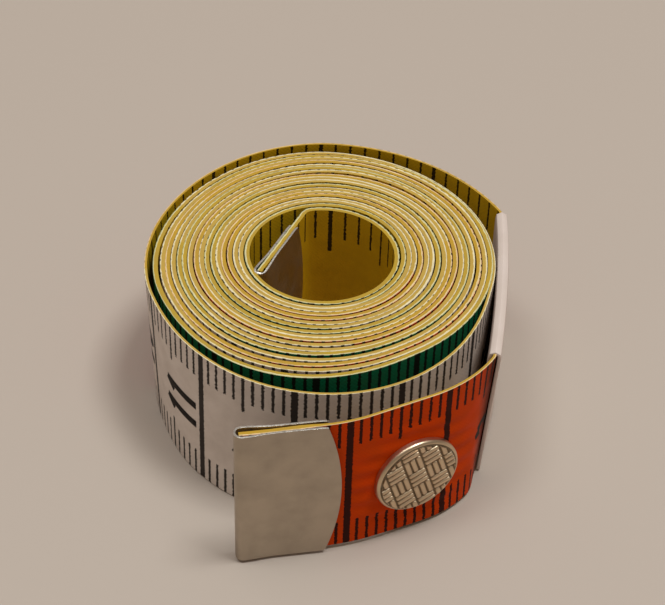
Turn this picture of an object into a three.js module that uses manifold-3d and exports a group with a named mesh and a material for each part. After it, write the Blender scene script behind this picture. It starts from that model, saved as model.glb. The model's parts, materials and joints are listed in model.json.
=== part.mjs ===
// Cloth tape measure, rolled up on its edge and closed by a press stud. Millimetres, +Z up.
// The roll's axis is vertical, the closing flap faces -Y and the stiffened side stretch faces +X.
// Seen from above the tape winds anticlockwise from its outer end to its inner end.
import * as THREE from 'three';
import { mergeVertices } from 'three/addons/utils/BufferGeometryUtils.js';
import loadManifold from 'manifold-3d';

const wasm = await loadManifold();
wasm.setup();

// Tape
const tapeWidth = 16;
const tapeThickness = 0.35;
const woundThickness = 0.15; // the wound stretch is thinned, so that its turns keep some air between them
const turnGap = 0.41; // least air between two turns
const stepsPerTurn = 24;

// Clearances
const fitGap = 0.3; // between pieces that touch on the real tape
const hingeGap = 1; // length of tape left open at a crease that folds

// Roll
const rollRadius = 16.85; // outer face of the tight turns
const holeRadius = 7.1; // inner face of the innermost turn
const tightFrom = 540; // degrees along the winding where the tight turns begin
const innerEndAngle = 99.5; // where the innermost turn leaves the wall of the hole
const backSlackDepth = 1.4; // how far the two outer turns stand off at the back
const backSlackFrom = 0;
const backSlackPeak = 57;
const backSlackTo = 150;
const bulgeFrom = 197; // where the second turn begins to lift towards the stud
const bulgeTo = 345; // where it lies down again
const humpPower = 1.5; // how sharply these stretches leave the turn below

// Side stretch with its sleeve
const farBendAngle = 22.2;
const farBendStandoff = 2.9; // of the far bend, beyond the tight turns
const bendSlackTo = 85; // where the outermost turn is down on the second one
const sideGap = 0.4; // air between the sleeve and the second turn
const sideSteps = 8;
const sleeveWall = 0.3;
const sleeveMargin = 0.7; // bare tape at each end of the side stretch
const sleeveFoot = 0.2; // height of the sleeve's lower edges

// Closing flap
const creaseAngle = -40;
const creaseStandoff = 4.5; // of the crease, beyond the tight turns
const creaseHeading = 68;
const snapHeading = 33;
const clipHeading = 9.5;
const creaseBendLength = 5.5;
const frontBendLength = 2.4;
const bendSteps = 6;

// End clips
const clipLength = 9.4; // along the middle of the arched edge
const clipArch = 1.4; // rise of that edge
const clipSheet = 0.25;
const clipOverhang = 0.5; // of the outer clip, below the tape
const clipLip = 0.1; // of both clips, above the tape

// Inner end
const tabBare = 1.2; // tape between the hinge and the inner clip
const tipAngle = 258; // of the wall that the inner clip points at, in degrees before the winding's end

// Press stud
const snapDrop = 0.8; // below the middle of the tape
const capRadius = 4.5;
const capThickness = 1;
const capRim = 0.35;
const capWall = 0.25;
const prongCount = 5;
const prongWidth = 0.8;
const prongSheet = 0.3;
const prongReach = 0.5; // into the socket's channel
const channelGap = 0.35; // air on each side of a prong in that channel
const socketHeight = 1.1;
const socketWall = 0.25;
const mouthLip = 0.5; // how far the socket's lip turns in under the spring
const springWire = 0.3;
const springSpan = 320;
const mouthGap = 0.5; // air between the socket's lip and the stud's head
const neckStep = 0.3; // how far the stud's neck is drawn in under its head
const studWall = 0.25;
const flangeWidth = 1.4;
const flangeThickness = 0.3;
const crownGap = 0.4; // air between the stud's crown and the flap
const roundSteps = 32;

const radians = THREE.MathUtils.degToRad;

// Materials
const metal = (color, roughness) => new THREE.MeshStandardMaterial({ color, roughness, metalness: 1 });
const cloth = (color) => new THREE.MeshStandardMaterial({ color, roughness: 0.55, metalness: 0 });
const clothWhite = cloth(0xd8d2c8);
const clothOrange = cloth(0xc2491c);
const clothYellow = cloth(0xd0a414);
const sleeveWhite = new THREE.MeshStandardMaterial({ color: 0xe9dcd2, roughness: 0.5, metalness: 0 });
const clipSteel = metal(0x9a8f80, 0.45);
const capSteel = metal(0xaaa08c, 0.35);
const innerSteel = metal(0xb8b2a6, 0.3);

const heading = (degrees) => new THREE.Vector2(Math.cos(radians(degrees)), Math.sin(radians(degrees)));
const leftOf = (direction) => new THREE.Vector2(-direction.y, direction.x);
const ahead = (point, degrees, distance) => point.clone().addScaledVector(heading(degrees), distance);
const polar = (degrees, radius) => heading(degrees).multiplyScalar(radius);
const angleOf = (point) => THREE.MathUtils.radToDeg(point.angle());
const onFloor = (point) => new THREE.Vector3(point.x, point.y, 0);

// Points of a bend that starts at a point and turns steadily from one heading to another
function bend(start, fromHeading, toHeading, length) {
  const points = [start];
  for (let i = 0; i < bendSteps; i += 1) {
    const middle = fromHeading + ((toHeading - fromHeading) * (i + 0.5)) / bendSteps;
    points.push(ahead(points[i], middle, length / bendSteps));
  }
  return points;
}

// A closed solid: a section of (left, up) points, anticlockwise seen from ahead, carried along a plan route
function sweep(route, section) {
  const directions = route.slice(1).map((point, i) => point.clone().sub(route[i]).normalize());
  const last = directions.length - 1;
  const positions = [];
  route.forEach((point, i) => {
    const before = leftOf(directions[Math.max(i - 1, 0)]);
    const after = leftOf(directions[Math.min(i, last)]);
    const mitre = before.clone().add(after).normalize();
    mitre.divideScalar(mitre.dot(after));
    for (const corner of section) {
      const place = point.clone().addScaledVector(mitre, corner.x);
      positions.push(place.x, place.y, corner.y);
    }
  });
  const count = section.length;
  const faces = [];
  for (let i = 0; i < route.length - 1; i += 1) {
    for (let k = 0; k < count; k += 1) {
      const a = i * count + k;
      const b = i * count + ((k + 1) % count);
      faces.push(a, b, b + count, a, b + count, a + count);
    }
  }
  const end = (route.length - 1) * count;
  for (const [a, b, c] of THREE.ShapeUtils.triangulateShape(section, [])) {
    faces.push(a, c, b, end + a, end + b, end + c);
  }
  const geometry = new THREE.BufferGeometry();
  geometry.setAttribute('position', new THREE.Float32BufferAttribute(positions, 3));
  geometry.setIndex(faces);
  return geometry;
}

const tapeSection = (thickness, bottom) => [
  new THREE.Vector2(-thickness / 2, bottom),
  new THREE.Vector2(thickness / 2, bottom),
  new THREE.Vector2(thickness / 2, bottom + tapeWidth),
  new THREE.Vector2(-thickness / 2, bottom + tapeWidth),
];

function toSolid(geometry) {
  const bare = geometry.clone();
  bare.deleteAttribute('normal');
  bare.deleteAttribute('uv');
  const merged = mergeVertices(bare, 1e-5);
  const vertProperties = Float32Array.from(merged.attributes.position.array);
  const triVerts = Uint32Array.from(merged.index.array);
  return new wasm.Manifold(new wasm.Mesh({ numProp: 3, vertProperties, triVerts }));
}

function toGeometry(solid) {
  const mesh = solid.getMesh();
  const geometry = new THREE.BufferGeometry();
  geometry.setAttribute('position', new THREE.Float32BufferAttribute(mesh.vertProperties, 3));
  geometry.setIndex(Array.from(mesh.triVerts));
  return geometry;
}

const tapeMeasure = new THREE.Group();

function addPiece(name, geometry, material, parent) {
  const piece = new THREE.Mesh(geometry, material);
  piece.name = name;
  parent.add(piece);
  return piece;
}

// A profile of [radius, height] pairs, anticlockwise, turned about the local Y axis
function turned(profile) {
  const points = profile.map(([radius, height]) => new THREE.Vector2(radius, height));
  return new THREE.LatheGeometry(points, roundSteps);
}

// Radii in the press stud, from its cap inwards
const ringRadius = capRadius - capWall - fitGap;
const prongCircle = ringRadius - prongWidth / 2; // middle of the prongs and of the socket's channel
const channelHalf = prongSheet / 2 + channelGap;
const socketRadius = prongCircle + channelHalf + socketWall;
const boreRadius = prongCircle - channelHalf - socketWall;
const mouthRadius = boreRadius - mouthLip;
const springRadius = boreRadius - fitGap - springWire / 2;
const headRadius = mouthRadius - mouthGap;
const neckRadius = headRadius - neckStep;
const postRadius = neckRadius - studWall - fitGap;
const studFlange = headRadius + flangeWidth;

// Route of the flap, from the outer end of the tape to the crease, worked out backwards from the crease
const snapFlat = 2 * (socketRadius + fitGap); // the tape is clamped flat under the press stud
const clipStraight = clipLength + fitGap;
const crease = polar(creaseAngle, rollRadius + creaseStandoff);
const creaseBend = bend(crease, creaseHeading + 180, snapHeading + 180, creaseBendLength);
const snapPoint = ahead(creaseBend.at(-1), snapHeading + 180, snapFlat / 2);
const frontBendStart = ahead(snapPoint, snapHeading + 180, snapFlat / 2);
const frontBend = bend(frontBendStart, snapHeading + 180, clipHeading + 180, frontBendLength);
const outerEnd = ahead(frontBend.at(-1), clipHeading + 180, clipStraight);
creaseBend[0] = ahead(crease, creaseHeading + 180, hingeGap / 2);
const flapRoute = [outerEnd, ...frontBend.reverse(), ...creaseBend.reverse()];
const flapBottom = clipOverhang;
const snapMiddle = flapBottom + tapeWidth / 2 - snapDrop;

// Heights in the press stud, out from the middle of the flap and out from the middle of the second turn
const capBase = tapeThickness / 2 + fitGap;
const capTop = capBase + capThickness;
const ringTop = capTop - capWall - fitGap;
const socketTop = -capBase;
const socketFoot = socketTop - socketHeight;
const flangeFoot = woundThickness / 2 + fitGap;
const flangeTop = flangeFoot + flangeThickness;
const snapStack = flangeTop + fitGap - socketFoot; // from the second turn to the flap
const crown = snapStack - tapeThickness / 2 - crownGap;
const outward = leftOf(heading(snapHeading)).negate();
const studPoint = snapPoint.clone().addScaledVector(outward, -snapStack);

// Winding: the angle grows along the tape, and the number of tight turns fits the space between rim and hole
const turnFraction = THREE.MathUtils.euclideanModulo(innerEndAngle - tightFrom, 360) / 360;
const leastPitch = (woundThickness + turnGap) / Math.cos(Math.PI / stepsPerTurn);
const tightDepth = rollRadius - holeRadius - woundThickness;
const tightTurns = Math.floor(tightDepth / leastPitch - turnFraction) + turnFraction;
const pitch = tightDepth / tightTurns;
const windingEnd = tightFrom + 360 * tightTurns;
const tightRadius = (angle) => rollRadius - woundThickness / 2 - (pitch * (angle - tightFrom)) / 360;

// Height of a lopsided hump, 0 at its two ends and 1 at its peak
function hump(angle, from, peak, to) {
  if (angle <= from || angle >= to) return 0;
  const share = angle < peak ? (peak - angle) / (peak - from) : (angle - peak) / (to - peak);
  return Math.cos((share * Math.PI) / 2) ** humpPower;
}

const studAngle = angleOf(studPoint);
const studBulge = studPoint.length() - tightRadius(studAngle);
const slackAt = (angle) => backSlackDepth * hump(angle % 360, backSlackFrom, backSlackPeak, backSlackTo);
const bendSlack = rollRadius + farBendStandoff - tightRadius(farBendAngle) - slackAt(farBendAngle);

function windingRadius(angle) {
  let radius = tightRadius(angle);
  if (angle >= tightFrom) return radius;
  radius += slackAt(angle);
  radius += studBulge * hump(angle, bulgeFrom, studAngle, bulgeTo);
  if (angle < bendSlackTo) radius += bendSlack * ((bendSlackTo - angle) / (bendSlackTo - farBendAngle)) ** 2;
  return radius;
}

// Side stretch: from the crease, past the second turn with room for the sleeve, to the far bend
const farBend = polar(farBendAngle, windingRadius(farBendAngle));
const sideAngle = (creaseAngle + farBendAngle) / 2;
const sleeveHalf = woundThickness / 2 + fitGap + sleeveWall;
const secondTurnFace = windingRadius(sideAngle + 360) + woundThickness / 2;
const sideMiddle = polar(sideAngle, secondTurnFace + sideGap + sleeveHalf);
const sideChord = crease.clone().add(farBend).divideScalar(2);
const sideControl = sideMiddle.clone().multiplyScalar(2).sub(sideChord);
const sideCurve = new THREE.QuadraticBezierCurve(crease, sideControl, farBend);
const sideLength = sideCurve.getLength();
const sidePoints = (from, to) =>
  Array.from({ length: sideSteps + 1 }, (_, i) => {
    const share = (from + ((to - from) * i) / sideSteps) / sideLength;
    return sideCurve.getPointAt(share);
  });

// Route of the wound stretch, flat where the stud is clamped on it
const studFlat = studFlange + fitGap;
const studEnds = [-studFlat, studFlat].map((along) => ahead(studPoint, snapHeading, along));
const [flatFrom, flatTo] = studEnds.map(angleOf);
const stepAngle = 360 / stepsPerTurn;
const woundRoute = sidePoints(hingeGap / 2, sideLength);
const woundSteps = Math.floor((windingEnd - farBendAngle) / stepAngle - 0.25);
for (let step = woundSteps; step >= 0; step -= 1) {
  const angle = windingEnd - step * stepAngle; // from the inner end, so that the corners of all turns line up
  const onFlat = angle > flatFrom - stepAngle / 3 && angle < flatTo + stepAngle / 3;
  if (!onFlat) woundRoute.push(polar(angle, windingRadius(angle)));
  if (angle < studAngle && angle + stepAngle >= studAngle) woundRoute.push(...studEnds);
}
const innerEnd = woundRoute.at(-1);

// Route of the inner end, which leans across the hole until its clip is almost at the wall
const clipHalf = tapeThickness / 2 + fitGap + clipSheet;
const tabLength = tabBare + clipLength;
const tabHinge = ahead(innerEnd, innerEndAngle + 90, hingeGap / 2);
const tipWall = windingRadius(windingEnd - tipAngle) - woundThickness / 2;
const tipRadius = tipWall * Math.cos(Math.PI / stepsPerTurn) - fitGap - clipHalf;
const hingeRadius = tabHinge.length();
const tabSquares = hingeRadius ** 2 + tabLength ** 2 - tipRadius ** 2;
const tabLean = Math.acos(tabSquares / (2 * hingeRadius * tabLength));
const tabHeading = THREE.MathUtils.radToDeg(tabHinge.angle() + Math.PI - tabLean);
const tabRoute = [hingeGap / 2, tabLength].map((along) => ahead(tabHinge, tabHeading, along));

// Least air between two turns of the wound stretch, measured on its corners and the middles of its steps
function leastTurnGap() {
  const corners = woundRoute.map(onFloor);
  const stepMiddle = (i) => corners[i].clone().lerp(corners[Math.max(i - 1, 0)], 0.5);
  const marks = corners.flatMap((corner, i) => [corner, stepMiddle(i)]);
  let least = Infinity;
  marks.forEach((mark, m) => {
    for (let i = 1; i < corners.length; i += 1) {
      const apart = Math.abs(i - m / 2) / stepsPerTurn;
      if (apart < 0.5 || apart > 1.5) continue;
      const step = new THREE.Line3(corners[i - 1], corners[i]);
      const nearest = step.closestPointToPoint(mark, true, new THREE.Vector3());
      least = Math.min(least, nearest.distanceTo(mark));
    }
  });
  return least - woundThickness;
}

const routeLength = (route) => route.slice(1).reduce((sum, point, i) => sum + point.distanceTo(route[i]), 0);

// A group whose local Y axis points outward along the axis of the press stud
function pressStudGroup(point) {
  const group = new THREE.Group();
  group.position.set(point.x, point.y, snapMiddle);
  group.quaternion.setFromUnitVectors(new THREE.Vector3(0, 1, 0), onFloor(outward));
  group.updateMatrix();
  tapeMeasure.add(group);
  return group;
}

const capGroup = pressStudGroup(snapPoint);
const studGroup = pressStudGroup(studPoint);

function prongs(allowance, from, to) {
  return Array.from({ length: prongCount }, (_, i) => {
    const prong = new THREE.BoxGeometry(prongSheet + 2 * allowance, to - from, prongWidth + 2 * allowance);
    prong.translate(prongCircle, (from + to) / 2, 0);
    prong.rotateY((2 * Math.PI * i) / prongCount);
    return prong;
  });
}

function makeFlap() {
  let flap = toSolid(sweep(flapRoute, tapeSection(tapeThickness, flapBottom)));
  for (const slot of prongs(fitGap, -tapeThickness, tapeThickness)) {
    flap = flap.subtract(toSolid(slot.applyMatrix4(capGroup.matrix)));
  }
  return toGeometry(flap);
}

function makeRoll() {
  const ribbon = toSolid(sweep(woundRoute, tapeSection(woundThickness, 0)));
  const holeSize = postRadius + fitGap;
  const hole = new THREE.CylinderGeometry(holeSize, holeSize, 2 * flangeFoot, roundSteps / 2);
  return toGeometry(ribbon.subtract(toSolid(hole.applyMatrix4(studGroup.matrix))));
}

const extrude = (shape, depth) =>
  new THREE.ExtrudeGeometry(shape, { depth, bevelEnabled: false, curveSegments: roundSteps / 4 });

// Sheet metal folded round the end of the tape, which lies along local X with its end at 0
function makeClip(bottom, top) {
  const outside = clipHalf;
  const inside = clipHalf - clipSheet;
  const fold = new THREE.Shape();
  fold.moveTo(clipLength, outside);
  fold.absarc(0, 0, outside, Math.PI / 2, 1.5 * Math.PI, false);
  fold.lineTo(clipLength, -outside);
  fold.lineTo(clipLength, -inside);
  fold.absarc(0, 0, inside, 1.5 * Math.PI, Math.PI / 2, true);
  fold.lineTo(clipLength, inside);
  const folded = extrude(fold, top - bottom);
  folded.translate(0, 0, bottom);

  const corner = clipLength - clipArch;
  const face = new THREE.Shape();
  face.moveTo(-2 * outside, bottom - outside);
  face.lineTo(corner, bottom - outside);
  face.lineTo(corner, bottom);
  face.quadraticCurveTo(corner + 2 * clipArch, (bottom + top) / 2, corner, top);
  face.lineTo(corner, top + outside);
  face.lineTo(-2 * outside, top + outside);
  const arched = extrude(face, 4 * outside);
  arched.rotateX(Math.PI / 2);
  arched.translate(0, 2 * outside, 0);
  return toGeometry(toSolid(folded).intersect(toSolid(arched)));
}

function placeClip(name, geometry, end, degrees) {
  const clip = addPiece(name, geometry, clipSteel, tapeMeasure);
  clip.position.set(end.x, end.y, 0);
  clip.rotation.z = radians(degrees);
}

// A stiff strip folded over the upper edge of the side stretch
function makeSleeve() {
  const inside = woundThickness / 2 + fitGap;
  const roof = tapeWidth + fitGap;
  const section = [
    new THREE.Vector2(-sleeveHalf, sleeveFoot),
    new THREE.Vector2(-inside, sleeveFoot),
    new THREE.Vector2(-inside, roof),
    new THREE.Vector2(inside, roof),
    new THREE.Vector2(inside, sleeveFoot),
    new THREE.Vector2(sleeveHalf, sleeveFoot),
    new THREE.Vector2(sleeveHalf, roof),
    new THREE.Vector2(inside, roof + sleeveWall),
    new THREE.Vector2(-inside, roof + sleeveWall),
    new THREE.Vector2(-sleeveHalf, roof),
  ];
  return sweep(sidePoints(sleeveMargin + hingeGap / 2, sideLength - sleeveMargin), section);
}

// A shell, open towards the tape
const makeCap = () =>
  turned([
    [0, capTop - capWall],
    [capRadius - capWall, capTop - capWall],
    [capRadius - capWall, capBase],
    [capRadius, capBase],
    [capRadius, capTop - capRim],
    [capRadius - capRim / 3, capTop - capRim / 3],
    [capRadius - capRim, capTop],
    [0, capTop],
  ]);

// The ring in the cap, whose prongs go through the tape into the socket
function makeProngRing() {
  const ringFoot = ringTop - prongSheet;
  const hole = prongCircle - prongWidth / 2;
  const washer = turned([
    [hole, ringFoot],
    [ringRadius, ringFoot],
    [ringRadius, ringTop],
    [hole, ringTop],
    [hole, ringFoot],
  ]);
  let ring = toSolid(washer);
  for (const prong of prongs(0, socketTop - prongReach, ringTop - prongSheet / 2)) {
    ring = ring.add(toSolid(prong));
  }
  return toGeometry(ring);
}

const makeSocket = () =>
  turned([
    [mouthRadius, socketFoot],
    [socketRadius, socketFoot],
    [socketRadius, socketTop],
    [socketRadius - socketWall, socketTop],
    [socketRadius - socketWall, socketFoot + socketWall],
    [boreRadius + socketWall, socketFoot + socketWall],
    [boreRadius + socketWall, socketTop],
    [boreRadius, socketTop],
    [boreRadius, socketFoot + socketWall],
    [mouthRadius, socketFoot + socketWall],
    [mouthRadius, socketFoot],
  ]);

// A spring ring that lies round the stud's neck, open over part of its turn
function makeSpring() {
  const height = socketFoot + socketWall + fitGap / 2 + springWire / 2;
  const points = Array.from({ length: roundSteps + 1 }, (_, i) => {
    const angle = radians((springSpan * i) / roundSteps);
    return new THREE.Vector3(springRadius * Math.cos(angle), height, springRadius * Math.sin(angle));
  });
  const wire = new THREE.Shape();
  wire.absarc(0, 0, springWire / 2, 0, 2 * Math.PI, false);
  const extrudePath = new THREE.CatmullRomCurve3(points);
  const options = { extrudePath, steps: roundSteps, curveSegments: 3, bevelEnabled: false };
  return new THREE.ExtrudeGeometry(wire, options);
}

const makeStud = () =>
  turned([
    [0, crown - studWall],
    [neckRadius - studWall, crown - studWall],
    [neckRadius - studWall, flangeFoot],
    [studFlange, flangeFoot],
    [studFlange, flangeTop],
    [neckRadius, flangeTop],
    [neckRadius, (flangeTop + crown) / 2],
    [headRadius, (flangeTop + 2 * crown) / 3],
    [neckRadius, crown],
    [0, crown],
  ]);

const makeEyelet = () =>
  turned([
    [0, -flangeTop],
    [studFlange, -flangeTop],
    [studFlange, -flangeFoot],
    [postRadius, -flangeFoot],
    [postRadius, crown - studWall - fitGap],
    [0, crown - studWall - fitGap],
  ]);

// Assembly
addPiece('tape_roll', makeRoll(), clothWhite, tapeMeasure);
addPiece('tape_flap', makeFlap(), clothOrange, tapeMeasure);
addPiece('tape_inner_end', sweep(tabRoute, tapeSection(tapeThickness, 0)), clothYellow, tapeMeasure);
addPiece('white_sleeve', makeSleeve(), sleeveWhite, tapeMeasure);
const outerClip = makeClip(flapBottom - clipOverhang, flapBottom + tapeWidth + clipLip);
placeClip('outer_end_clip', outerClip, outerEnd, clipHeading);
placeClip('inner_end_clip', makeClip(0, tapeWidth + clipLip), tabRoute[1], tabHeading + 180);
addPiece('snap_cap', makeCap(), capSteel, capGroup);
addPiece('cap_prong_ring', makeProngRing(), innerSteel, capGroup);
addPiece('snap_socket', makeSocket(), innerSteel, capGroup);
addPiece('snap_spring', makeSpring(), innerSteel, capGroup);
addPiece('snap_stud', makeStud(), innerSteel, studGroup);
addPiece('stud_eyelet', makeEyelet(), innerSteel, studGroup);

// The origin is the middle of the part's footprint
const box = new THREE.Box3().setFromObject(tapeMeasure, true);
const middle = box.getCenter(new THREE.Vector3());
tapeMeasure.position.set(-middle.x, -middle.y, -box.min.z);

// Figures for the record
const restStep = -6 * stepsPerTurn; // some turns in from the hole
const restPoint = woundRoute.at(restStep).clone().lerp(woundRoute.at(restStep - 1), 0.5);
const tapeLength = routeLength(woundRoute) + routeLength(flapRoute) + routeLength(tabRoute) + 2 * hingeGap;
const show = (label, point) => {
  const place = [point.x - middle.x, point.y - middle.y].map((value) => value.toFixed(3));
  console.log(`${label} at ${place.join(', ')}`);
};
console.log(`least gap between turns ${leastTurnGap().toFixed(3)} mm`);
console.log(`${(tightTurns + 2).toFixed(2)} turns, pitch ${pitch.toFixed(3)}, tape length ${tapeLength.toFixed(0)}`);
show('flap hinge', crease);
show("inner end's hinge", tabHinge);
show('roll axis', new THREE.Vector2());
show('rest point', restPoint);

export default tapeMeasure;
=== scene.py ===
"""Looks of a rolled cloth tape measure, closed by a press stud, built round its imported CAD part."""

import json
import math

import bpy
import numpy as np
from bpy.props import FloatProperty, FloatVectorProperty, IntProperty, PointerProperty
from mathutils import Matrix, Vector


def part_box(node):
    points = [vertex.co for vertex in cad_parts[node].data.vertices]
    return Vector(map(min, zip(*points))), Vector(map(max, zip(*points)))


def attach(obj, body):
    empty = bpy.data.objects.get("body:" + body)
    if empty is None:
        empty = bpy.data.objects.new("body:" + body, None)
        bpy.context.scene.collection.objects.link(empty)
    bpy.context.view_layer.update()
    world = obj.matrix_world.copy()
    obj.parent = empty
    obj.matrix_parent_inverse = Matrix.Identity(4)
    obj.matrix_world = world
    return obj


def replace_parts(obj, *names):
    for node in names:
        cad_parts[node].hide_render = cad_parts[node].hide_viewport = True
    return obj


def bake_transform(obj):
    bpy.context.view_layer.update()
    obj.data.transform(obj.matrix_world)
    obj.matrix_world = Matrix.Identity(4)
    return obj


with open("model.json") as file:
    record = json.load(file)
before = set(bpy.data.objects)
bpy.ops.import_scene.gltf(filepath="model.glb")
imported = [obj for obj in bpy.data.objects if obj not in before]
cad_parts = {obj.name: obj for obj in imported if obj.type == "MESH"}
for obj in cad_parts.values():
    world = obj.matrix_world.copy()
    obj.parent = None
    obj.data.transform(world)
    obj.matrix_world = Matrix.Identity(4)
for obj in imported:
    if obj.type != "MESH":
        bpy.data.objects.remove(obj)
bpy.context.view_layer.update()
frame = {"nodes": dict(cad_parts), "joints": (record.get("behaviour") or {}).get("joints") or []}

bl_info = {
    "name": "Cloth tape measure",
    "version": (1, 0, 0),
    "blender": (4, 5, 0),
    "location": "View3D > Sidebar > Tape measure",
    "description": "Builds a rolled cloth tape measure round its CAD frame",
    "category": "Object",
}

MM = 0.001
INCH = 25.4
TURN = 2 * math.pi
ROUTE_STEP = 0.1 * MM

# Unevenness as waves, each with a height, a rate and a phase: round the roll, and along its upper edge
TURN_WAVES = ((1.0, 0.31, 0.6), (0.7, 1.13, 0.0), (0.5, 2.07, 2.1))
EDGE_WAVES = ((0.7, TURN / (61 * MM), 0.0), (0.6, TURN / (37 * MM), 1.0))
EDGE_LEVEL = 1.3


# Linear colours of dirt, wear, painted shade and light
CLOTH_DIRT = (0.13, 0.06, 0.008, 1)
# Painted shade at the flap's crease
CREASE_PAINTED_SHADE = (0.05, 0.004, 0.001, 1)
EDGE_DIRT = (0.3, 0.2, 0.07, 1)
WORN_INK = (0.12, 0.1, 0.09, 1)
TORN_METAL = (0.06, 0.045, 0.03, 1)
SLEEVE_DIRT = (0.45, 0.34, 0.25, 1)
FLOOR_SHADE = (0.4, 0.32, 0.25, 1)
LAMP_LIGHT = (0.9, 0.96, 1.0)
ROOM_LIGHT = (1.0, 0.85, 0.74, 1)


# Settings
def length(name, millimetres, description):
    default = millimetres * MM
    return FloatProperty(name=name, description=description, default=default, unit="LENGTH", precision=5)


def stretch(name, start, peak, end, description):
    """A property that holds where a hump along the tape starts, peaks and ends, in millimetres."""
    default = (start * MM, peak * MM, end * MM)
    kind = {"unit": "LENGTH", "precision": 5}
    return FloatVectorProperty(name=name, description=description, default=default, **kind)


def angle(name, degrees, description):
    default = math.radians(degrees)
    return FloatProperty(name=name, description=description, default=default, subtype="ANGLE")


def arc(name, start, peak, end, description):
    """A property that holds where a hump round the roll starts, peaks and ends, in degrees."""
    default = (math.radians(start), math.radians(peak), math.radians(end))
    return FloatVectorProperty(name=name, description=description, default=default, unit="ROTATION")


def number(name, value, description, unit="NONE"):
    return FloatProperty(name=name, description=description, default=value, unit=unit)


def colour(name, red, green, blue, description):
    """A colour property whose default is given as 8-bit screen values."""
    def linear(value):
        share = value / 255
        return share / 12.92 if share <= 0.04045 else ((share + 0.055) / 1.055) ** 2.4

    default = (linear(red), linear(green), linear(blue))
    kind = {"subtype": "COLOR", "min": 0, "max": 1}
    return FloatVectorProperty(name=name, description=description, default=default, **kind)


class TapeSettings(bpy.types.PropertyGroup):
    width: length("Width", 16, "Width of the tape")
    thickness: length("Thickness", 0.49, "Thickness of the cloth in the tight turns and the clips")
    loose_thickness: length("Loose thickness", 0.28, "Thickness of the cloth on the flap and the loose turns")
    thick_from: length("Thick from", 150, "Where along the tape the loose turns begin to thicken")
    thick_to: length("Thick to", 205, "Where along the tape the turns have their full thickness")
    flap_past: length("Flap past", 2.4, "How far the flap's piece reaches past the crease")
    tail_lead: length("Tail lead", 4, "How far the tail's piece begins before its hinge")
    hinge_reach: length("Hinge reach", 0.9, "Half the length over which the tape bends at a hinge")
    step: length("Mesh step", 0.4, "Length of one mesh step along the tape")
    smoothing: length("Smoothing", 1.1, "Length over which sharp bends of the route are rounded")
    print_slip: length("Print slip", 4.65, "Length of tape tucked away in the sleeve, which the scale skips")
    band_lead: length("Band lead", 4, "How far each colour begins before its centimetre line")
    inch_start: length("Inch start", 2.77, "Where the inch scale begins along the tape")
    number_height: length("Number height", 5.2, "Height of the printed numbers")
    number_pitch: length("Number pitch", 2.4, "Distance between two digits")
    number_stroke: length("Number stroke", 0.85, "Width of a digit's stroke")
    number_gap: length("Number gap", 0.8, "Gap between a number and its line")
    number_drop: length("Number drop", 0.3, "How far the numbers sit below the tape's middle")
    print_lift: length("Print lift", 0.02, "How far the printed numbers stand off the cloth")


class RollSettings(bpy.types.PropertyGroup):
    rim: length("Rim radius", 16.85, "Outer face of the tight turns in the CAD part")
    first_turn: length("First tight turn", 16.8, "Middle of the outermost tight turn")
    last_turn: length("Last tight turn", 7.15, "Middle of the innermost turn")
    tight_from: angle("Tight from", 540, "Angle along the winding where the tight turns begin")
    tight_turns: number("Tight turns", 16.7764, "Number of tight turns")
    back_slack: length("Back slack", 0.72, "How far the outer turn stands off at the back")
    back_rise: length("Back rise", 0.35, "How far the outer turn stands up at the back")
    rise_along: stretch("Rise along", 38, 66, 105, "Where along the tape the outer turn stands up")
    back_round: arc("Back round", 0, 57, 235, "Where round the roll the outer turn stands off")
    bulge: length("Bulge", 2.52, "How far the second turn is pulled out by the press stud")
    bulge_round: arc("Bulge round", 204, 279, 345, "Where round the roll the second turn is pulled out")
    core_bulge: length("Core bulge", 1.32, "How far the first tight turn is drawn out at the front")
    core_peak: angle("Core bulge peak", 254, "Where the tight turns are drawn out most")
    core_half: angle("Core bulge half width", 50, "Reach of the core's bulge to either side")
    core_shift: length("Core shift", 0.35, "How far the tight turns lie off the roll's axis")
    core_heading: angle("Core heading", 45, "Direction in which the tight turns lie off the axis")
    core_spread: number("Core spread", 4, "Number of turns over which the core's bulge fades")
    dent: length("Dent", 0.85, "How far the turns are pressed in at the back left")
    dent_peak: angle("Dent peak", 148, "Where the turns are pressed in most")
    dent_half: angle("Dent half width", 60, "Reach of the dent to either side")
    far_bend: angle("Far bend", 22.2, "Angle of the bend behind the sleeve")
    far_standoff: length("Far bend standoff", 2.9, "Distance of the far bend from the tight turns")
    bend_to: angle("Bend slack to", 85, "Where the outermost turn is down on the second one")
    side_gap: length("Side gap", 0.9, "Distance from the second turn to the tape in the sleeve")
    waviness: length("Waviness", 0.036, "Unevenness of the turns across the roll")
    edge_waviness: length("Edge waviness", 0.07, "Unevenness of the turns' upper edges")
    flare: length("Flare", 0.3, "How far the foot of the second turn stands out at the front left")
    flare_along: stretch("Flare along", 104, 122, 150, "Where along the tape the foot stands out")
    undercut: length("Undercut", 0.45, "How far the foot of the second turn is drawn in at the left")
    undercut_along: stretch("Undercut along", 75, 100, 113, "Where along the tape the foot is drawn in")
    lean: length("Lean", 0.95, "How far the foot of the side stretch is drawn in")
    lean_before: length("Lean before", 3, "How far before the crease the foot begins to be drawn in")
    lean_past: length("Lean past", 0.3, "How far past the crease the foot is drawn in most")
    lean_share: number("Lean share", 0.55, "Share of the side stretch in which the foot comes out again")
    lean_heading: angle("Lean heading", 141, "Direction in which the foot of the side stretch is drawn in")


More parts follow.
